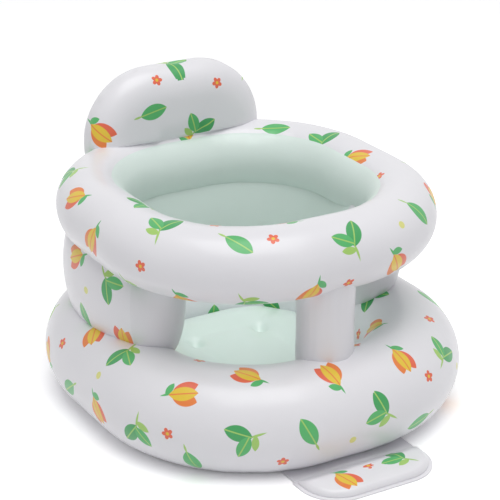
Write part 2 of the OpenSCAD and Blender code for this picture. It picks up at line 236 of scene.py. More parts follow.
def addPrint(tree, ground):  # draws the motifs over the ground colour and returns the colour socket
    place = addNode(tree, "UVMap", uv_map="motifPlace")
    kind = addNode(tree, "UVMap", uv_map="motifKind")
    kindNumber = addNode(tree, "SeparateXYZ", {0: kind.outputs[0]}).outputs[0]
    toMillimetres = (printSizes["unit"] * 1000 / printSizes["grow"],) * 3
    spread = addNode(tree, "VectorMath", {0: place.outputs[0], 1: toMillimetres},
                     operation="MULTIPLY").outputs[0]
    colour = ground
    edge = printSizes["edge"]
    for number, leaves in printLeaves.items():
        kindMask = addNode(tree, "Math", {0: kindNumber, 1: number, 2: printSizes["kindNear"]},
                           operation="COMPARE").outputs[0]
        for middle, leafTurn, halfW, halfL, ink, rib in leaves:
            radius = (halfL ** 2 + halfW ** 2) / (2 * halfW)  # a leaf is the overlap of two circles
            local = addNode(tree, "Mapping", {"Vector": spread, "Location": (*middle, 0),
                            "Rotation": (0, 0, math.radians(leafTurn))}, vector_type="TEXTURE")
            parts = addNode(tree, "SeparateXYZ", {0: local.outputs[0]})
            side = addNode(tree, "Math", {0: parts.outputs[0]}, operation="ABSOLUTE").outputs[0]
            far = addNode(tree, "Math", {0: side, 1: radius - halfW}, operation="ADD")
            arm = addNode(tree, "CombineXYZ", {0: far.outputs[0], 1: parts.outputs[1]})
            away = addNode(tree, "VectorMath", {0: arm.outputs[0]}, operation="LENGTH").outputs["Value"]
            inside = addNode(tree, "Math", {0: radius, 1: away}, operation="SUBTRACT").outputs[0]
            leafMask = addMask(tree, inside, edge)
            colour = addInk(tree, colour, ink, leafMask, kindMask)
            if rib:
                nearRib = addNode(tree, "Math", {0: printSizes["rib"], 1: side},
                                  operation="SUBTRACT").outputs[0]
                ribMask = addNode(tree, "Math", {0: addMask(tree, nearRib, edge), 1: leafMask},
                                  operation="MULTIPLY").outputs[0]
                colour = addInk(tree, colour, rib, ribMask, kindMask)
    away = addNode(tree, "VectorMath", {0: spread}, operation="LENGTH").outputs["Value"]
    parts = addNode(tree, "SeparateXYZ", {0: spread})
    angle = addNode(tree, "Math", {0: parts.outputs[1], 1: parts.outputs[0]},
                    operation="ARCTAN2").outputs[0]
    petals = addNode(tree, "Math", {0: angle, 1: printSizes["petals"] / 2}, operation="MULTIPLY").outputs[0]
    wave = addNode(tree, "Math", {0: petals}, operation="COSINE").outputs[0]
    wave = addNode(tree, "Math", {0: wave}, operation="ABSOLUTE").outputs[0]
    reach = addNode(tree, "Math", {0: wave, 1: printSizes["blossomWave"], 2: printSizes["blossomR"]},
                    operation="MULTIPLY_ADD").outputs[0]
    for number, size, ink in ((printSizes["blossomKind"], reach, "coral"),
                              (printSizes["blossomKind"], printSizes["blossomHeart"], "yellow"),
                              (printSizes["dotKind"], printSizes["dotR"], "paleYellow")):
        kindMask = addNode(tree, "Math", {0: kindNumber, 1: number, 2: printSizes["kindNear"]},
                           operation="COMPARE").outputs[0]
        inside = addNode(tree, "Math", {0: size, 1: away}, operation="SUBTRACT").outputs[0]
        colour = addInk(tree, colour, ink, addMask(tree, inside, edge), kindMask)
    return colour


# Calendered PVC film: cast between polished rollers, so it is smooth with a satin shine, and slightly
# uneven in tone and shine where it stretches over the air. The scales are for changes of tone over about
# 70 mm and of shine over 16 mm, for the rollers' grain, drawn 1 mm coarse to show, and for slack of 26 mm.
filmFinish = {"ior": 1.53, "coatRoughness": 0.22, "toneScale": 14, "sheenScale": 60, "sheenSpan": (0.3, 0.7),
              "smoother": 0.04, "rougher": 0.06, "grainScale": 1100, "grainDepth": 0.00003,
              "slackScale": 38, "slackDepth": 0.0006, "bumpStrength": 0.5}


def makeFilm(name, hexColour, shadeHex, roughness, coat, printed=False):
    film = bpy.data.materials.new(name)
    film.use_nodes = True
    tree = film.node_tree
    surface = tree.nodes["Principled BSDF"]
    surface.inputs["IOR"].default_value = filmFinish["ior"]
    surface.inputs["Coat Weight"].default_value = coat
    surface.inputs["Coat Roughness"].default_value = filmFinish["coatRoughness"]
    place = addNode(tree, "TexCoord").outputs["Object"]
    tone = addNode(tree, "TexNoise", {"Vector": place, "Scale": filmFinish["toneScale"], "Detail": 2})
    ground = addNode(tree, "Mix", {"Factor": tone.outputs["Fac"], 6: toLinear(hexColour),
                     7: toLinear(shadeHex)}, data_type="RGBA").outputs[2]
    colour = addPrint(tree, ground) if printed else ground
    tree.links.new(colour, surface.inputs["Base Color"])
    sheen = addNode(tree, "TexNoise", {"Vector": place, "Scale": filmFinish["sheenScale"], "Detail": 3})
    smoothEnd, roughEnd = filmFinish["sheenSpan"]
    rough = addNode(tree, "MapRange", {"Value": sheen.outputs["Fac"],
                    "From Min": smoothEnd, "To Min": roughness - filmFinish["smoother"],
                    "From Max": roughEnd, "To Max": roughness + filmFinish["rougher"]}).outputs[0]
    tree.links.new(rough, surface.inputs["Roughness"])
    grain = addNode(tree, "TexNoise", {"Vector": place, "Scale": filmFinish["grainScale"], "Detail": 1})
    slack = addNode(tree, "TexNoise", {"Vector": place, "Scale": filmFinish["slackScale"], "Detail": 2})
    strength = filmFinish["bumpStrength"]
    fine = addNode(tree, "Bump", {"Height": grain.outputs["Fac"], "Distance": filmFinish["grainDepth"],
                   "Strength": strength}).outputs[0]
    wide = addNode(tree, "Bump", {"Height": slack.outputs["Fac"], "Distance": filmFinish["slackDepth"],
                   "Strength": strength, "Normal": fine}).outputs[0]
    tree.links.new(wide, surface.inputs["Normal"])
    return film


printedFilm = makeFilm("pvc_film_calendered_printed", "#F2F1F5", "#ECEBF0", 0.36, 0.25, printed=True)
whiteFilm = makeFilm("pvc_film_calendered_white", "#EDECF0", "#E6E5EA", 0.38, 0.2)
# The mint film's colours are paler than the film's own mint. This is painted light, standing in for the light
# that comes through the thin film into the seat's shaded inside.
mintFilmWithPaintedLight = makeFilm("pvc_film_calendered_mint_painted_light", "#E5F2ED", "#DEECE6", 0.38, 0.2)


# Plasticised PVC, injection moulded: milky, soft and slightly see-through at its rims. The clouds in it are
# about 6 mm and the mould's grain is drawn 0.7 mm coarse to show.
softFinish = {"milk": "#F1F4F5", "shade": "#E9EEF0", "roughness": 0.3, "ior": 1.52, "transmission": 0.05,
              "subsurface": 0.1, "subsurfaceRadius": 0.002, "cloudScale": 160, "grainScale": 1500,
              "grainDepth": 0.00003, "grainStrength": 0.4}


def makeSoftValvePvc():
    soft = bpy.data.materials.new("pvc_soft_injection_moulded")
    soft.use_nodes = True
    tree = soft.node_tree
    surface = tree.nodes["Principled BSDF"]
    place = addNode(tree, "TexCoord").outputs["Object"]
    cloud = addNode(tree, "TexNoise", {"Vector": place, "Scale": softFinish["cloudScale"], "Detail": 2})
    milk = addNode(tree, "Mix", {"Factor": cloud.outputs["Fac"], 6: toLinear(softFinish["milk"]),
                   7: toLinear(softFinish["shade"])}, data_type="RGBA").outputs[2]
    tree.links.new(milk, surface.inputs["Base Color"])
    surface.inputs["Roughness"].default_value = softFinish["roughness"]
    surface.inputs["IOR"].default_value = softFinish["ior"]
    surface.inputs["Transmission Weight"].default_value = softFinish["transmission"]
    surface.inputs["Subsurface Weight"].default_value = softFinish["subsurface"]
    surface.inputs["Subsurface Radius"].default_value = (softFinish["subsurfaceRadius"],) * 3
    grain = addNode(tree, "TexNoise", {"Vector": place, "Scale": softFinish["grainScale"], "Detail": 1})
    bump = addNode(tree, "Bump", {"Height": grain.outputs["Fac"], "Distance": softFinish["grainDepth"],
                   "Strength": softFinish["grainStrength"]}).outputs[0]
    tree.links.new(bump, surface.inputs["Normal"])
    return soft


softPvc = makeSoftValvePvc()
print("materials made")

filmLook = {"thick": 0.0005, "wave": 0.00035, "waveScale": 24, "weldDepth": 0.0005, "weldHalf": 0.0016,
            "foldDepth": 0.0020, "foldScale": 70, "foldReach": 0.011, "reachSwing": 0.7, "reachScale": 0.37,
            "quietNear": 0.018, "quietFar": 0.032, "holeRadius": 0.0125, "holeDepth": 0.02}

valveNames = ("base", "wall", "head")
valvePlaces = []  # each valve's place on the film, where the film stays still and has its hole
for valveName in valveNames:
    low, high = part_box(valveName + "_valve_seat")
    valvePlaces.append(Vector((0, high.y, (low.z + high.z) / 2)))


def quiet(point):  # 0 at a valve's flange, 1 away from it
    nearest = min((point - spot).length for spot in valvePlaces)
    return smoothStep(filmLook["quietNear"], filmLook["quietFar"], nearest)


def slackWave(point):
    return filmLook["wave"] * noise.noise(point * filmLook["waveScale"])


def weldPull(pathPoint, across, seed, depth=1.0):  # how far a weld draws the film in, across metres from it
    spot = Vector((pathPoint.x, pathPoint.y, seed)) * filmLook["foldScale"]
    fold = 0.5 + 0.5 * noise.noise(spot)
    reach = 1 + filmLook["reachSwing"] * noise.noise(spot * filmLook["reachScale"])
    reach *= filmLook["foldReach"]
    weld = filmLook["weldDepth"] * math.exp(-(across / filmLook["weldHalf"]) ** 2)
    return weld + depth * filmLook["foldDepth"] * fold * fold * math.exp(-abs(across) / reach)


def cutValveHole(piece, spot):
    def inHole(face):
        centre = face.calc_center_median()
        away = math.hypot(centre.x, centre.z - spot.z)
        return centre.y > spot.y - filmLook["holeDepth"] and away < filmLook["holeRadius"]

    bpy.ops.object.mode_set(mode="EDIT")
    pickParts(piece, "faces", inHole)
    bpy.ops.mesh.delete(type="FACE")
    bpy.ops.object.mode_set(mode="OBJECT")


# A ring's plan is a rounded rectangle: half sizes and corner of its tube's middle line.
def ringPlan(node, tube, corner, around):
    low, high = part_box(node)
    halfW, halfL = high.x - tube, (high.y - low.y) / 2 - tube
    return {"tube": tube, "corner": corner, "around": around, "halfW": halfW, "sideX": halfW - corner,
            "sideY": halfL - corner, "midY": (high.y + low.y) / 2, "z": high.z - tube}


def ringPlace(plan, x, y):  # nearest point of the middle line, and the distance and way outwards from it
    px, py = x, y - plan["midY"]
    cx = min(max(px, -plan["sideX"]), plan["sideX"])
    cy = min(max(py, -plan["sideY"]), plan["sideY"])
    way = Vector((px - cx, py - cy))
    far = way.length
    way = way / far if far > 1e-9 else Vector((1, 0))
    return Vector((cx, cy + plan["midY"])) + way * plan["corner"], far - plan["corner"], way


def sweepRing(name, plan):
    start = (plan["halfW"], plan["midY"] - plan["sideY"], plan["z"])
    bpy.ops.mesh.primitive_circle_add(vertices=plan["around"], radius=plan["tube"],
                                      rotation=(math.pi / 2, 0, 0), location=start)
    ring = startPiece(name)
    along, centre = Vector((0, 1, 0)), Vector((plan["sideX"], plan["sideY"], 0))
    for quarter in range(4):
        length = 2 * (plan["sideY"] if quarter % 2 == 0 else plan["sideX"])
        steps = max(round(length / plan["stride"]), 1)
        bpy.ops.mesh.extrude_repeat(steps=steps, offset=along * (length / steps))
        bpy.ops.mesh.spin(steps=plan["cornerSteps"], angle=-math.pi / 2, axis=(0, 0, 1),
                          center=(centre.x, centre.y + plan["midY"], 0))
        along = Vector((-along.y, along.x, 0))
        centre = Vector((-centre.x, centre.y, 0)) if quarter % 2 == 0 else Vector((centre.x, -centre.y, 0))
    closeUp(ring)
    return ring


def sectionAngle(plan, point):  # round the tube in degrees: 0 outwards, 90 up
    return math.degrees(math.atan2(point.z - plan["z"], ringPlace(plan, point.x, point.y)[1])) % 360


# Gaps and reaches in metres. tries are drawn in the piece's box, and those near the film count.
layout = {"bigGap": 0.066, "mixedGap": 0.036, "smallGap": 0.050, "valveGap": 0.039, "bigReach": 0.0250,
          "smallReach": 0.009, "smallShare": 0.5, "bigKinds": (1, 2, 1, 3, 2), "smallKinds": (4, 5, 4),
          "tries": 14000, "near": 0.004, "facing": 0.3, "upLean": (0.2, 0.1, 1)}


def layPrint(piece, seed, allowed=None):
    # Scatters motifs over the film, each as near its neighbours as the gap lets it, and gives each face
    # its place on the motif that it carries. Places are drawn in space, so that the faces' order doesn't
    # change them.
    draw = random.Random(seed)
    mesh = piece.data
    tree = kdtree.KDTree(len(mesh.polygons))
    for face in mesh.polygons:
        tree.insert(face.center, face.index)
    tree.balance()
    spans = [(min(row), max(row)) for row in zip(*(v.co for v in mesh.vertices))]
    places = {}
    for _ in range(layout["tries"]):
        spot, index, far = tree.find([draw.uniform(*span) for span in spans])
        toValve = min((spot - valve).length for valve in valvePlaces)
        if far > layout["near"] or toValve < layout["valveGap"]:
            continue
        if allowed is None or allowed(spot, mesh.polygons[index].normal):
            places[index] = spot
    tries = list(places)
    motifs = [(tries[0], True)]
    nearBig = {index: (spot - places[tries[0]]).length for index, spot in places.items()}
    while True:
        left = [index for index, far in nearBig.items() if far > layout["bigGap"]]
        if not left:
            break
        chosen = min(left, key=nearBig.get)
        motifs.append((chosen, True))
        nearBig = {index: min(far, (places[index] - places[chosen]).length) for index, far in nearBig.items()}
    smallLeft = round(len(motifs) * layout["smallShare"])
    for index in tries:
        smalls = [places[other] for other, big in motifs if not big]
        free = all((places[index] - spot).length > layout["smallGap"] for spot in smalls)
        if smallLeft and free and nearBig[index] > layout["mixedGap"]:
            motifs.append((index, False))
            smallLeft -= 1
    nearest = {}
    kinds = {True: 0, False: 0}
    for index, big in motifs:
        face = mesh.polygons[index]
        group = layout["bigKinds"] if big else layout["smallKinds"]
        kind = group[kinds[big] % len(group)]
        kinds[big] += 1
        sideWay = face.normal.cross(Vector(layout["upLean"])).normalized()
        upWay = sideWay.cross(face.normal)
        spin = draw.uniform(0, 2 * math.pi)
        across = sideWay * math.cos(spin) + upWay * math.sin(spin)
        up = upWay * math.cos(spin) - sideWay * math.sin(spin)
        for _, other, far in tree.find_range(face.center, layout["bigReach" if big else "smallReach"]):
            facing = mesh.polygons[other].normal.dot(face.normal)
            if facing > layout["facing"] and far < nearest.get(other, (1,))[0]:
                nearest[other] = (far, face.center, across, up, kind)
    placeMap = mesh.uv_layers.new(name="motifPlace")
    kindMap = mesh.uv_layers.new(name="motifKind")
    for index, (_, centre, across, up, kind) in nearest.items():
        for loop in mesh.polygons[index].loop_indices:
            offset = (mesh.vertices[mesh.loops[loop].vertex_index].co - centre) / printSizes["unit"]
            placeMap.data[loop].uv = (offset.dot(across), offset.dot(up))
            kindMap.data[loop].uv = (kind, 0)


def drawInWelds(ring, plan, seams, pull=1.0):  # the film is slack between its welds and drawn in at them
    for vertex in ring.data.vertices:
        point = vertex.co
        middle, out, way = ringPlace(plan, point.x, point.y)
        angle = sectionAngle(plan, point)
        outwards = Vector((way.x * out, way.y * out, point.z - plan["z"])) / plan["tube"]
        shift = slackWave(point)
        for seam in seams:
            across = plan["tube"] * math.radians((angle - seam + 180) % 360 - 180)
            shift -= weldPull(middle, across, seam, pull)
        vertex.co = point + outwards * shift * quiet(point)


baseShape = {"tube": 0.056, "corner": 0.135, "around": 88, "cornerSteps": 76, "stride": 0.004,
             "floorZ": 0.0006, "weldAngles": (232, 308), "printZ": 0.024, "printDown": -0.75, "seed": 11}


def makeBaseRing():
    plan = ringPlan("base_ring", baseShape["tube"], baseShape["corner"], baseShape["around"])
    plan.update(cornerSteps=baseShape["cornerSteps"], stride=baseShape["stride"])
    ring = sweepRing("baseRing", plan)
    drawInWelds(ring, plan, baseShape["weldAngles"])
    for vertex in ring.data.vertices:
        vertex.co.z = max(vertex.co.z, baseShape["floorZ"])
    cutValveHole(ring, valvePlaces[0])
    layPrint(ring, baseShape["seed"],
             lambda c, n: c.z > baseShape["printZ"] and n.z > baseShape["printDown"])
    finishPiece(ring, printedFilm, "seat", ["base_ring"])
    return plan


basePlan = makeBaseRing()
print("base ring made")

armShape = {"tube": 0.040, "corner": 0.132, "around": 72, "cornerSteps": 72, "stride": 0.004,
            "seamIn": 125, "seamOut": 280, "pull": 0.8, "seed": 23}


def makeArmRing():
    plan = ringPlan("arm_ring_print_panel", armShape["tube"], armShape["corner"], armShape["around"])
    plan.update(cornerSteps=armShape["cornerSteps"], stride=armShape["stride"])
    ring = sweepRing("armRingPrint", plan)
    drawInWelds(ring, plan, (armShape["seamIn"], armShape["seamOut"]), armShape["pull"])
    bpy.ops.object.mode_set(mode="EDIT")
    pickParts(ring, "faces", lambda f: armShape["seamIn"] < sectionAngle(plan, f.calc_center_median())
              < armShape["seamOut"])
    bpy.ops.mesh.separate(type="SELECTED")
    bpy.ops.object.mode_set(mode="OBJECT")
    inner = [o for o in bpy.context.selected_objects if o != ring][0]
    inner.name = "armRingMint"
    layPrint(ring, armShape["seed"])
    for piece in (ring, inner):
        applyModifier(piece, "SOLIDIFY", thickness=filmLook["thick"], offset=-1)
    finishPiece(ring, printedFilm, "seat", ["arm_ring_print_panel"])
    finishPiece(inner, mintFilmWithPaintedLight, "seat", ["arm_ring_mint_panel"])
    return plan


armPlan = makeArmRing()
print("arm ring made")

wallShape = {"reach": 0.131, "halfT": 0.036, "bulge": 0.150, "armRadius": 0.200, "armTurn": 22.5,
             "round": 300, "spare": 0.002, "backSteps": 6, "spinSteps": (84, 26, 40, 18, 52), "halvings": 24,
             "sink": 0.0008, "pinch": 0.0012, "pinchReach": 0.005, "seed": 37}


def onRing(plan, x, y, side):  # height of a ring's top (side 1) or underside (-1) at a place
    out = ringPlace(plan, x, y)[1]
    return plan["z"] + side * math.sqrt(max(plan["tube"] ** 2 - out ** 2, 0))


def makeWall():
    low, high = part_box("wall_outer_panel")
    reach, halfT, bulge = wallShape["reach"], wallShape["halfT"], wallShape["bulge"]
    armTurn, armRadius = math.radians(wallShape["armTurn"]), wallShape["armRadius"]
    cornerX, cornerY = high.x - reach - halfT, high.y - reach - halfT
    armX = cornerX + reach - armRadius
    midZ = valvePlaces[1].z
    armEnd = Vector((armX + armRadius * math.cos(armTurn), cornerY - armRadius * math.sin(armTurn)))
    far = bulge - halfT

    def wallPath(x, y):  # nearest point of the right half's path, and which stretch it is in
        if y >= cornerY and x <= cornerX:
            return Vector((x, cornerY + reach)), "back"
        if y >= cornerY:
            way = Vector((x - cornerX, y - cornerY)).normalized()
            return Vector((cornerX, cornerY)) + way * reach, "corner"
        way = Vector((x - armX, y - cornerY)).normalized()
        if math.atan2(way.y, way.x) >= -armTurn - 1e-6:
            return Vector((armX, cornerY)) + way * armRadius, "arm"
        return armEnd.copy(), "end"

    bpy.ops.mesh.primitive_circle_add(vertices=wallShape["round"], radius=bulge, rotation=(0, math.pi / 2, 0),
                                      location=(0, cornerY + reach - far, midZ))
    wall = startPiece("wallOuter")
    zLow, zHigh = low.z - wallShape["spare"], high.z + wallShape["spare"]
    pickParts(wall, "verts", lambda v: v.co.y < cornerY + reach or not zLow < v.co.z < zHigh)
    bpy.ops.mesh.delete(type="VERT")
    bpy.ops.mesh.select_all(action="SELECT")
    backSteps = wallShape["backSteps"]
    bpy.ops.mesh.extrude_repeat(steps=backSteps, offset=(cornerX / backSteps, 0, 0))
    corner, arm, quarter = (cornerX, cornerY), (armX, cornerY), math.pi / 2
    turns = ((quarter, corner), (armTurn, arm), (math.pi, armEnd), (-armTurn, arm), (-quarter, corner))
    for steps, (angle, centre) in zip(wallShape["spinSteps"], turns):
        bpy.ops.mesh.spin(steps=steps, angle=angle, center=(*centre, 0), axis=(0, 0, 1))
    bpy.ops.mesh.extrude_repeat(steps=backSteps, offset=(-cornerX / backSteps, 0, 0))
    closeUp(wall)
    rowLow, rowHigh = min(v.co.z for v in wall.data.vertices), max(v.co.z for v in wall.data.vertices)
    ends = {}
    regions = {}
    for vertex in wall.data.vertices:
        point = vertex.co
        path, stretch = wallPath(point.x, point.y)
        way = Vector((point.x, point.y)) - path
        way.normalize()
        key = (round(path.x, 5), round(path.y, 5), round(way.x, 3), round(way.y, 3))
        if key not in ends:
            spans = []
            for side, plan in ((1, basePlan), (-1, armPlan)):
                near, away = midZ, plan["z"]
                for _ in range(wallShape["halvings"]):
                    tryZ = (near + away) / 2
                    bulk = math.sqrt(bulge ** 2 - (tryZ - midZ) ** 2) - far
                    spot = path + way * bulk
                    clear = side * (tryZ - onRing(plan, spot.x, spot.y, side)) > -wallShape["sink"]
                    near, away = (tryZ, away) if clear else (near, tryZ)
                spans.append(near)
            ends[key] = spans
        bottom, top = ends[key]
        z = bottom + (top - bottom) * (point.z - rowLow) / (rowHigh - rowLow)
        bulk = math.sqrt(bulge ** 2 - (z - midZ) ** 2) - far
        for edge in (bottom, top):
            bulk -= wallShape["pinch"] * math.exp(-((z - edge) / wallShape["pinchReach"]) ** 2)
        spot = path + way * bulk
        placed = Vector((spot.x, spot.y, z))
        shift = slackWave(placed) - sum(weldPull(spot, z - edge, edge) for edge in (bottom, top))
        spot += way * shift * quiet(placed)
        regions[vertex.index] = stretch
        vertex.co = (spot.x, spot.y, z)
    # Regions: 0 the printed outside, 1 the mint inside, 2 the white ends at the leg openings.
    group = wall.data.attributes.new("region", "INT", "FACE")
    for face in wall.data.polygons:
        stretches = [regions[v] for v in face.vertices]
        path, stretch = wallPath(face.center.x, face.center.y)
        if stretch == "end" or stretches.count("end") >= 3:
            group.data[face.index].value = 2
        else:
            way = Vector((face.center.x, face.center.y)) - path
            hub = Vector((armX, cornerY)) if stretch == "arm" else Vector((cornerX, cornerY))
            outwards = way.y > 0 if stretch == "back" else way.dot(path - hub) > 0
            group.data[face.index].value = 0 if outwards else 1
    applyModifier(wall, "MIRROR", use_axis=(True, False, False), merge_threshold=0.0001)
    pieces = [wall]
    for number, name in ((1, "wallInner"), (2, "legPanels")):
        values = [d.value for d in wall.data.attributes["region"].data]
        selectOnly(wall)
        bpy.ops.object.mode_set(mode="EDIT")
        pickParts(wall, "faces", lambda f: values[f.index] == number)
        bpy.ops.mesh.separate(type="SELECTED")
        bpy.ops.object.mode_set(mode="OBJECT")
        part = [o for o in bpy.context.selected_objects if o != wall][0]
        part.name = name
        pieces.append(part)
    for piece in pieces:
        selectOnly(piece)
        bpy.ops.object.mode_set(mode="EDIT")
        closeUp(piece)
        fixOutwards(piece, wallPath)
        if piece == wall:
            cutValveHole(wall, valvePlaces[1])
            layPrint(wall, wallShape["seed"])
        applyModifier(piece, "SOLIDIFY", thickness=filmLook["thick"], offset=-1)
    finishPiece(pieces[0], printedFilm, "seat", ["wall_outer_panel"])
    finishPiece(pieces[1], mintFilmWithPaintedLight, "seat", ["wall_inner_panel"])
    finishPiece(pieces[2], whiteFilm, "seat", ["leg_opening_panels"])


def fixOutwards(piece, path):  # an open sheet's faces are turned away from the wall's air
    face = piece.data.polygons[0]
    middle = path(abs(face.center.x), face.center.y)[0]
    out = Vector((abs(face.center.x) - middle.x, face.center.y - middle.y))
    normal = Vector((face.normal.x if face.center.x > 0 else -face.normal.x, face.normal.y))
    if out.dot(normal) < 0:
        piece.data.flip_normals()


makeWall()
print("wall made")

postShape = {"rows": 44, "around": 96, "sink": 0.001, "waist": 0.0012, "flutes": 0.00035, "endPull": 0.0022,
             "endReach": 0.006, "fluteScale": (5, 5, 6), "foldMean": 0.6, "foldSwing": 0.4, "foldScale": 4}


def makePost():
    low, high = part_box("crotch_post")
    radius, midY = (high.x - low.x) / 2, (high.y + low.y) / 2
    bpy.ops.mesh.primitive_cylinder_add(vertices=postShape["around"], radius=radius, depth=high.z - low.z,
                                        end_fill_type="NOTHING", location=(0, midY, (low.z + high.z) / 2))
    post = startPiece("crotchPost")
    pickParts(post, "edges", lambda e: abs(e.verts[0].co.z - e.verts[1].co.z) > 0.01)
    bpy.ops.mesh.subdivide(number_cuts=postShape["rows"])
    closeUp(post)
    for vertex in post.data.vertices:
        x, y, z = vertex.co
        share = (z - low.z) / (high.z - low.z)
        way = Vector((x, y - midY)) / radius
        bottom = onRing(basePlan, x, y, 1) - postShape["sink"]
        top = onRing(armPlan, x, y, -1) + postShape["sink"]
        z = bottom + (top - bottom) * share
        size = radius - postShape["waist"] * math.sin(math.pi * share)
        size += postShape["flutes"] * noise.noise(Vector((way.x, way.y, z)) * Vector(postShape["fluteScale"]))
        for edge in (bottom, top):
            ripple = noise.noise(Vector((way.x, way.y, edge)) * postShape["foldScale"])
            fold = postShape["foldMean"] + postShape["foldSwing"] * ripple
            size -= postShape["endPull"] * fold * math.exp(-abs(z - edge) / postShape["endReach"])
        vertex.co = (way.x * size, midY + way.y * size, z)
    applyModifier(post, "SOLIDIFY", thickness=filmLook["thick"], offset=-1)
    finishPiece(post, whiteFilm, "seat", ["crotch_post"])


makePost()
print("post made")

headShape = {"corner": 0.082, "halfT": 0.0288, "edge": 0.040, "power": 2.4, "foot": 0.240,
             "cornerSteps": 22, "slabVoxel": 0.0018, "voxel": 0.0027, "smooth": 6, "seamHalf": 0.012,
             "foldDepth": 1.4, "slack": 1.2, "printZ": 0.255, "fill": 0.9, "seed": 41}


def makeHeadrest():
    low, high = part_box("headrest")
    midY = (low.y + high.y) / 2
    bpy.ops.mesh.primitive_plane_add(size=1, rotation=(math.pi / 2, 0, 0),
                                     location=(0, midY, (headShape["foot"] + high.z) / 2))
    bpy.context.object.scale = (high.x - low.x, high.z - headShape["foot"], 1)
    head = startPiece("headPillow")
    pickParts(head, "verts", lambda v: v.co.z > (low.z + high.z) / 2)
    bpy.ops.mesh.bevel(affect="VERTICES", offset=headShape["corner"], segments=headShape["cornerSteps"])
    pickParts(head, "faces", lambda f: True)
    bpy.ops.mesh.extrude_region_move(TRANSFORM_OT_translate={"value": (0, headShape["halfT"], 0)})
    closeUp(head)
    head.location.y = -midY
    bpy.ops.object.transform_apply(location=True, rotation=False, scale=False)
    applyModifier(head, "MIRROR", use_axis=(False, True, False), merge_threshold=0.0001)
    applyModifier(head, "REMESH", mode="VOXEL", voxel_size=headShape["slabVoxel"])
    cornerX, cornerZ = high.x - headShape["corner"], high.z - headShape["corner"]
    # The slab thins to nothing where its two films are welded together.
    for vertex in head.data.vertices:
        x, z = abs(vertex.co.x), vertex.co.z
        inwards = min(high.x - x, high.z - z, z - headShape["foot"])
        if x > cornerX and z > cornerZ:
            inwards = headShape["corner"] - math.hypot(x - cornerX, z - cornerZ)
        share = min(max(inwards / headShape["edge"], 0), 1)
        vertex.co.y = midY + vertex.co.y * math.sqrt(1 - (1 - share) ** headShape["power"])
    applyModifier(head, "REMESH", mode="VOXEL", voxel_size=headShape["voxel"])
    applyModifier(head, "SMOOTH", factor=0.5, iterations=headShape["smooth"])
    normals = [v.normal.copy() for v in head.data.vertices]
    for vertex, normal in zip(head.data.vertices, normals):
        away = abs(vertex.co.y - midY)
        nearEdge = 1 - smoothStep(0.0, headShape["seamHalf"], away)
        along = Vector((vertex.co.x, vertex.co.z))
        fold = weldPull(along, away, headShape["seed"], headShape["foldDepth"]) * nearEdge
        outwards = Vector((vertex.co.x, 0, vertex.co.z - low.z)).normalized()
        slack = normal * slackWave(vertex.co) * headShape["slack"]
        vertex.co += (slack - outwards * fold) * quiet(vertex.co)
    selectOnly(head)
    cutValveHole(head, valvePlaces[2])
    layPrint(head, headShape["seed"], lambda c, n: c.z > headShape["printZ"])
    finishPiece(head, printedFilm, "seat", ["headrest"])


makeHeadrest()
print("headrest made")

cushionShape = {"corner": 0.082, "cornerSteps": 16, "start": 0.026, "inset": 0.004, "drop": 0.004,
                "voxel": 0.005, "cap": 0.013, "dotX": 0.040, "dotY": 0.048, "dotR": 0.007, "dotRise": 0.002,
                "floorZ": 0.0009, "fill": 0.85}
cushionCloth = {"quality": 6, "mass": 0.3, "tension_stiffness": 12, "compression_stiffness": 12,
                "bending_stiffness": 0.4, "use_pressure": True, "uniform_pressure_force": 4.0}
clothFrames = 20


def makeCushion():
    low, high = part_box("seat_cushion")
    midY = (low.y + high.y) / 2
    inset, midZ = cushionShape["inset"], (low.z + high.z) / 2 - cushionShape["drop"]
    bpy.ops.mesh.primitive_plane_add(size=1, location=(0, midY, midZ - cushionShape["start"] / 2))
    bpy.context.object.scale = (high.x - low.x - 2 * inset, high.y - low.y - 2 * inset, 1)
    cushion = startPiece("seatCushion")
    bpy.ops.mesh.bevel(affect="VERTICES", offset=cushionShape["corner"] - inset,
                       segments=cushionShape["cornerSteps"])
    pickParts(cushion, "faces", lambda f: True)
    bpy.ops.mesh.extrude_region_move(TRANSFORM_OT_translate={"value": (0, 0, cushionShape["start"])})
    closeUp(cushion)
    applyModifier(cushion, "REMESH", mode="VOXEL", voxel_size=cushionShape["voxel"])
    dots = [(x * cushionShape["dotX"], midY + y * cushionShape["dotY"]) for x in (-1, 1) for y in (-1, 1)]
    welds = cushion.vertex_groups.new(name="welds")
    for vertex in cushion.data.vertices:
        near = min(math.hypot(vertex.co.x - x, vertex.co.y - y) for x, y in dots)
        if near < cushionShape["dotR"]:
            welds.add([vertex.index], 1, "REPLACE")
            if vertex.co.z > midZ:
                vertex.co.z = midZ + cushionShape["dotRise"]
    start = [v.co.copy() for v in cushion.data.vertices]
    selectOnly(cushion)
    cloth = cushion.modifiers.new("Cloth", "CLOTH")
    for name, value in cushionCloth.items():
        setattr(cloth.settings, name, value)
    cloth.settings.effector_weights.gravity = 0
    cloth.settings.vertex_group_mass = "welds"
    for step in range(1, clothFrames + 1):
        bpy.context.scene.frame_set(step)
    bpy.ops.object.modifier_apply(modifier="Cloth")
    bpy.context.scene.frame_set(1)
    for vertex, first in zip(cushion.data.vertices, start):
        move = vertex.co - first
        if move.length > cushionShape["cap"]:
            vertex.co = first + move.normalized() * cushionShape["cap"]
    applyModifier(cushion, "SMOOTH", factor=0.5, iterations=2)
    reachX = max(v.co.x for v in cushion.data.vertices)
    reachY = max(v.co.y for v in cushion.data.vertices) - midY
    topZ = max(v.co.z for v in cushion.data.vertices)
    bottomZ = min(v.co.z for v in cushion.data.vertices)
    for vertex in cushion.data.vertices:
        vertex.co.x *= high.x / reachX
        vertex.co.y = midY + (vertex.co.y - midY) * (high.y - midY) / reachY
        vertex.co.z = low.z + (vertex.co.z - bottomZ) * (high.z - low.z) / (topZ - bottomZ)
        vertex.co.z = max(vertex.co.z, cushionShape["floorZ"])
    applyModifier(cushion, "SUBSURF", levels=1, render_levels=1)
    finishPiece(cushion, mintFilmWithPaintedLight, "seat", ["seat_cushion"])


makeCushion()
print("cushion made")

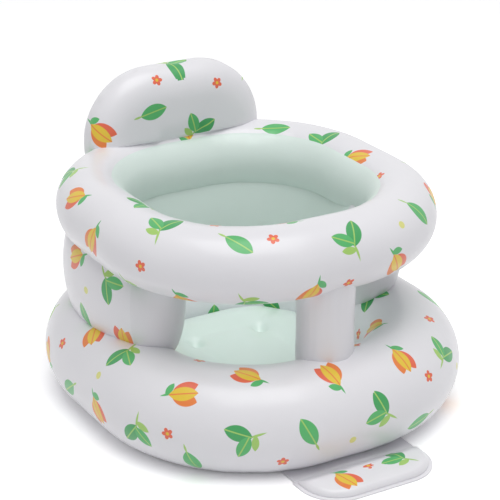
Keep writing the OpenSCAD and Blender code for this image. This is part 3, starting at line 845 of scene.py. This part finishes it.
padShape = {"corner": 0.0397, "cornerSteps": 20, "seamZ": 0.0019, "lip": 0.0004, "edgeRise": 0.0052,
            "edgeIn": 0.0046, "rings": 18, "crownIn": 0.0148, "rearGap": 0.0005, "rearShare": 0.25,
            "rearRamp": 0.020, "puckers": 0.0005, "puckerScale": 70, "printX": 0.052, "printY": 0.009,
            "printUp": 0.7, "fill": 0.8, "seed": 59}


def makePumpPad():
    low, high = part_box("pump_pad")
    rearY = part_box("pump_flap_border")[1].y - padShape["rearGap"]
    midY = (low.y + rearY) / 2
    bpy.ops.mesh.primitive_plane_add(size=1, location=(0, midY, padShape["seamZ"]))
    bpy.context.object.scale = (high.x - low.x, rearY - low.y, 1)
    pad = startPiece("pumpPad")
    pickParts(pad, "verts", lambda v: v.co.y < midY)
    bpy.ops.mesh.bevel(affect="VERTICES", offset=padShape["corner"], segments=padShape["cornerSteps"])
    pickParts(pad, "faces", lambda f: True)
    bpy.ops.mesh.extrude_region_move(TRANSFORM_OT_translate={"value": (0, 0, padShape["lip"])})
    brim = padShape["seamZ"] + padShape["lip"]
    crownRise = high.z - brim - padShape["edgeRise"]
    lastIn, lastUp = 0, 0
    for ring in range(1, padShape["rings"] + 1):
        inwards = padShape["crownIn"] * (ring / padShape["rings"]) ** 2
        steep = 1 - min(inwards / padShape["edgeIn"], 1)
        up = padShape["edgeRise"] * math.sqrt(1 - steep ** 2)
        up += crownRise * (1 - (1 - inwards / padShape["crownIn"]) ** 2)
        bpy.ops.mesh.inset(thickness=inwards - lastIn, depth=up - lastUp)
        lastIn, lastUp = inwards, up
    bpy.ops.mesh.quads_convert_to_tris()
    closeUp(pad)
    applyModifier(pad, "SUBSURF", subdivision_type="SIMPLE", levels=2, render_levels=2)
    applyModifier(pad, "SMOOTH", factor=0.5, iterations=2)
    for vertex in pad.data.vertices:
        x, y, z = vertex.co
        if z > brim:
            fold = noise.noise(Vector((x, y, padShape["seed"])) * padShape["puckerScale"])
            rise = z - brim + padShape["puckers"] * fold * smoothStep(brim, high.z, z)
            share = padShape["rearShare"]  # the pad thins towards the fold
            rise *= share + (1 - share) * smoothStep(0, padShape["rearRamp"], rearY - y)
            vertex.co.z = brim + rise

    def inMiddle(centre, normal):
        near = abs(centre.x) < padShape["printX"] and abs(centre.y - midY) < padShape["printY"]
        return near and normal.z > padShape["printUp"]

    layPrint(pad, padShape["seed"], inMiddle)
    finishPiece(pad, printedFilm, None, ["pump_pad", "pump_foam"])
    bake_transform(pad)


filmFlapShape = {"corner": 0.044, "cornerSteps": 24, "soften": 0.0005, "sheet": 0.0005, "play": 0.0003,
                 "intakeWall": 0.0035, "under": -0.001, "cut": 0.006}


def makeFlapFilm():  # the flap's two films, welded round the pad, with the pump's intake in the lower one
    low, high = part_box("pump_flap_border")
    midY = (low.y + high.y) / 2
    bpy.ops.mesh.primitive_plane_add(size=1, location=(0, midY, 0))
    bpy.context.object.scale = (high.x - low.x, high.y - low.y, 1)
    flap = startPiece("flapFilm")
    pickParts(flap, "verts", lambda v: v.co.y < midY)
    bpy.ops.mesh.bevel(affect="VERTICES", offset=filmFlapShape["corner"],
                       segments=filmFlapShape["cornerSteps"])
    pickParts(flap, "faces", lambda f: True)
    bpy.ops.mesh.extrude_region_move(TRANSFORM_OT_translate={"value": (0, 0, high.z)})
    closeUp(flap)
    applyModifier(flap, "BEVEL", width=filmFlapShape["soften"], segments=3, limit_method="ANGLE")
    ringLow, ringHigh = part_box("pump_intake_ring")
    middle = (ringLow + ringHigh) / 2
    outer = (ringHigh.x - ringLow.x) / 2 + filmFlapShape["play"]
    cut = filmFlapShape["cut"]
    for radius, floorZ in ((ringHigh.x - filmFlapShape["intakeWall"], filmFlapShape["under"]),
                           (outer, filmFlapShape["sheet"])):
        bpy.ops.mesh.primitive_cylinder_add(vertices=48, radius=radius, depth=cut,
                                            location=(0, middle.y, floorZ + cut / 2))
        cutter = bpy.context.object
        applyModifier(flap, "BOOLEAN", object=cutter, operation="DIFFERENCE")
        bpy.data.objects.remove(cutter)
    finishPiece(flap, printedFilm, "pump_flap", ["pump_flap_sheet", "pump_flap_border"],
                angle=40)


neckShape = {"halfW": 0.0755, "underZ": 0.0004, "edgeZ": 0.0020, "topZ": 0.0038, "across": 40, "along": 10,
             "crease": 0.0026, "creaseZ": 0.0017, "soften": 0.0006}


def makeFlapNeck():  # the film that joins the flap to the seat's floor sheet, with the air duct inside it
    low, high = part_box("pump_duct")
    frontY = low.y
    bpy.ops.mesh.primitive_grid_add(x_subdivisions=neckShape["across"], y_subdivisions=neckShape["along"],
                                    size=1)
    bpy.context.object.scale = (2 * neckShape["halfW"], 1, 1)  # y is the share of the way until it is shaped
    neck = startPiece("flapNeck")
    bpy.ops.mesh.extrude_region_move(TRANSFORM_OT_translate={"value": (0, 0, 1)})
    closeUp(neck)
    for vertex in neck.data.vertices:
        x, share, level = vertex.co.x, 0.5 - vertex.co.y, vertex.co.z
        rise = (neckShape["topZ"] - neckShape["edgeZ"]) * (1 - (x / neckShape["halfW"]) ** 2) ** 2
        top = neckShape["edgeZ"] + rise
        z = top if level > 0.5 else neckShape["underZ"]
        out = math.sqrt(basePlan["tube"] ** 2 - (basePlan["z"] - z) ** 2)
        beside = max(abs(x) - basePlan["sideX"], 0)
        rearY = basePlan["midY"] - basePlan["sideY"]
        rearY -= math.sqrt((basePlan["corner"] + out) ** 2 - beside ** 2)
        y = rearY + (frontY - rearY) * share
        if level > 0.5:
            z += (neckShape["creaseZ"] - top) * (1 - smoothStep(0, neckShape["crease"], y - frontY))
        vertex.co = (x, y, z)
    applyModifier(neck, "BEVEL", width=neckShape["soften"], segments=3, limit_method="ANGLE")
    finishPiece(neck, whiteFilm, "seat", ["pump_duct"])


makeFlapNeck()
makeFlapFilm()
makePumpPad()
print("pump made")

# Turned profiles as (radius, distance out of the seat), in millimetres. Blocks go from one corner to the
# other, given as (out, up), over the strap's width less the inset. Bends are the film's radii in metres.
valveShape = {
    "around": 56, "bevel": 0.00022, "rise": 0.9, "bends": {"base": 0.056, "wall": 0.150, "head": None},
    "bendFrom": 0.0095, "bendFull": 0.0130,
    "seat": [(16.4, 0.1), (16.4, 0.7), (16.0, 0.9), (14.4, 0.9), (14.1, 0.55), (13.3, 0.55), (13.0, 0.9),
             (11.3, 0.9), (10.9, 1.5), (9.2, 1.5), (8.72, 1.1), (8.72, -8.0), (10.4, -8.0), (10.4, 0.1)],
    "stem": [(8.55, -14.0), (8.55, -9.8), (10.1, -9.8), (10.1, -8.3), (8.55, -8.3), (8.55, 7.5), (9.1, 7.8),
             (9.2, 8.4), (8.9, 8.9), (6.7, 8.9), (6.25, 8.5), (6.25, -14.0)],
    "plug": [(4.4, 5.7), (5.0, 6.1), (5.7, 9.2), (7.3, 9.2), (7.6, 9.5), (7.6, 10.4), (7.2, 10.8),
             (5.7, 10.8), (5.2, 10.4), (2.2, 10.3), (1.6, 10.6)],
    "stemStrap": ((7.9, 7.2), (8.9, 11.5)), "plugStrap": ((9.2, 6.4), (10.2, 11.5)),
    "tab": ((9.3, -12.6), (10.7, -6.0)), "strap": 5.0, "hinge": (11.5, 9.7), "hingeR": 0.85,
    "ribs": (-11.7, -10.4, -9.1), "ribOut": (10.5, 11.1), "ribThick": 0.5, "ribInset": 0.7,
}


def turnProfile(name, spot, profile, closed):  # a ring of edges goes from point to point of the profile
    centre = Vector((spot.x, spot.y + (profile[0][1] - valveShape["rise"]) / 1000, spot.z))
    bpy.ops.mesh.primitive_circle_add(vertices=valveShape["around"], radius=profile[0][0] / 1000,
                                      location=centre, rotation=(math.pi / 2, 0, 0))
    turned = startPiece(name)
    following = profile[1:] + profile[:1] if closed else profile[1:]
    for (lastR, lastOut), (radius, out) in zip(profile, following):
        bpy.ops.mesh.extrude_region_move(TRANSFORM_OT_translate={"value": (0, (out - lastOut) / 1000, 0)})
        grow = radius / lastR
        bpy.ops.transform.resize(value=(grow, 1, grow), center_override=centre)
    if not closed:
        bpy.ops.mesh.select_all(action="SELECT")
        bpy.ops.mesh.fill_holes(sides=0)
    closeUp(turned)
    return turned


def addBlock(piece, spot, low, high, inset=0):
    (lowOut, lowUp), (highOut, highUp) = low, high
    middle = Vector((0, (lowOut + highOut) / 2 - valveShape["rise"], (lowUp + highUp) / 2)) / 1000
    bpy.ops.mesh.primitive_cube_add(size=1, location=spot + middle)
    block = bpy.context.object
    block.scale = Vector((valveShape["strap"] - 2 * inset, highOut - lowOut, highUp - lowUp)) / 1000
    bpy.ops.object.transform_apply(location=True, rotation=True, scale=True)
    joinTo(piece, block)


def joinTo(piece, part):
    selectOnly(piece)
    part.select_set(True)
    bpy.ops.object.join()


def makeValve(name, spot):
    seat = turnProfile(name + "ValveSeat", spot, valveShape["seat"], True)
    bend = valveShape["bends"][name]
    if bend:
        for vertex in seat.data.vertices:
            up = vertex.co.z - spot.z
            far = math.hypot(vertex.co.x - spot.x, up)
            share = smoothStep(valveShape["bendFrom"], valveShape["bendFull"], far)
            vertex.co.y -= share * (bend - math.sqrt(bend ** 2 - up ** 2))
    stem = turnProfile(name + "ValveStem", spot, valveShape["stem"], True)
    addBlock(stem, spot, *valveShape["stemStrap"])
    plug = turnProfile(name + "ValvePlug", spot, valveShape["plug"], False)
    addBlock(plug, spot, *valveShape["plugStrap"])
    addBlock(plug, spot, *valveShape["tab"])
    ribLow, ribHigh = valveShape["ribOut"]
    for ribUp in valveShape["ribs"]:
        ribTop = ribUp + valveShape["ribThick"]
        addBlock(plug, spot, (ribLow, ribUp), (ribHigh, ribTop), valveShape["ribInset"])
    hingeUp, hingeOut = valveShape["hinge"]
    hingePlace = spot + Vector((0, hingeOut - valveShape["rise"], hingeUp)) / 1000
    bpy.ops.mesh.primitive_cylinder_add(vertices=20, radius=valveShape["hingeR"] / 1000,
                                        depth=valveShape["strap"] / 1000, rotation=(0, math.pi / 2, 0),
                                        location=hingePlace)
    fold = bpy.context.object
    bpy.ops.object.transform_apply(location=True, rotation=True, scale=True)
    joinTo(plug, fold)
    for piece, body, part in ((seat, "seat", "seat"), (stem, name + "_valve_stem", "stem"),
                              (plug, name + "_valve_plug", "plug")):
        applyModifier(piece, "BEVEL", width=valveShape["bevel"], segments=2, limit_method="ANGLE",
                      angle_limit=math.radians(35))
        finishPiece(piece, softPvc, body, [f"{name}_valve_{part}"], angle=40)


for valveName, valvePlace in zip(valveNames, valvePlaces):
    makeValve(valveName, valvePlace)
print("valves made")

# The other pieces keep the solids' own shapes.
nodeFinishes = {"white_film": whiteFilm, "mint_film": mintFilmWithPaintedLight, "soft_valve": softPvc}
for part in frame["record"]["subparts"]:
    solid = frame["nodes"][part["node"]]
    if part["material_slot"] in nodeFinishes:
        solid.data.materials.clear()
        solid.data.materials.append(nodeFinishes[part["material_slot"]])
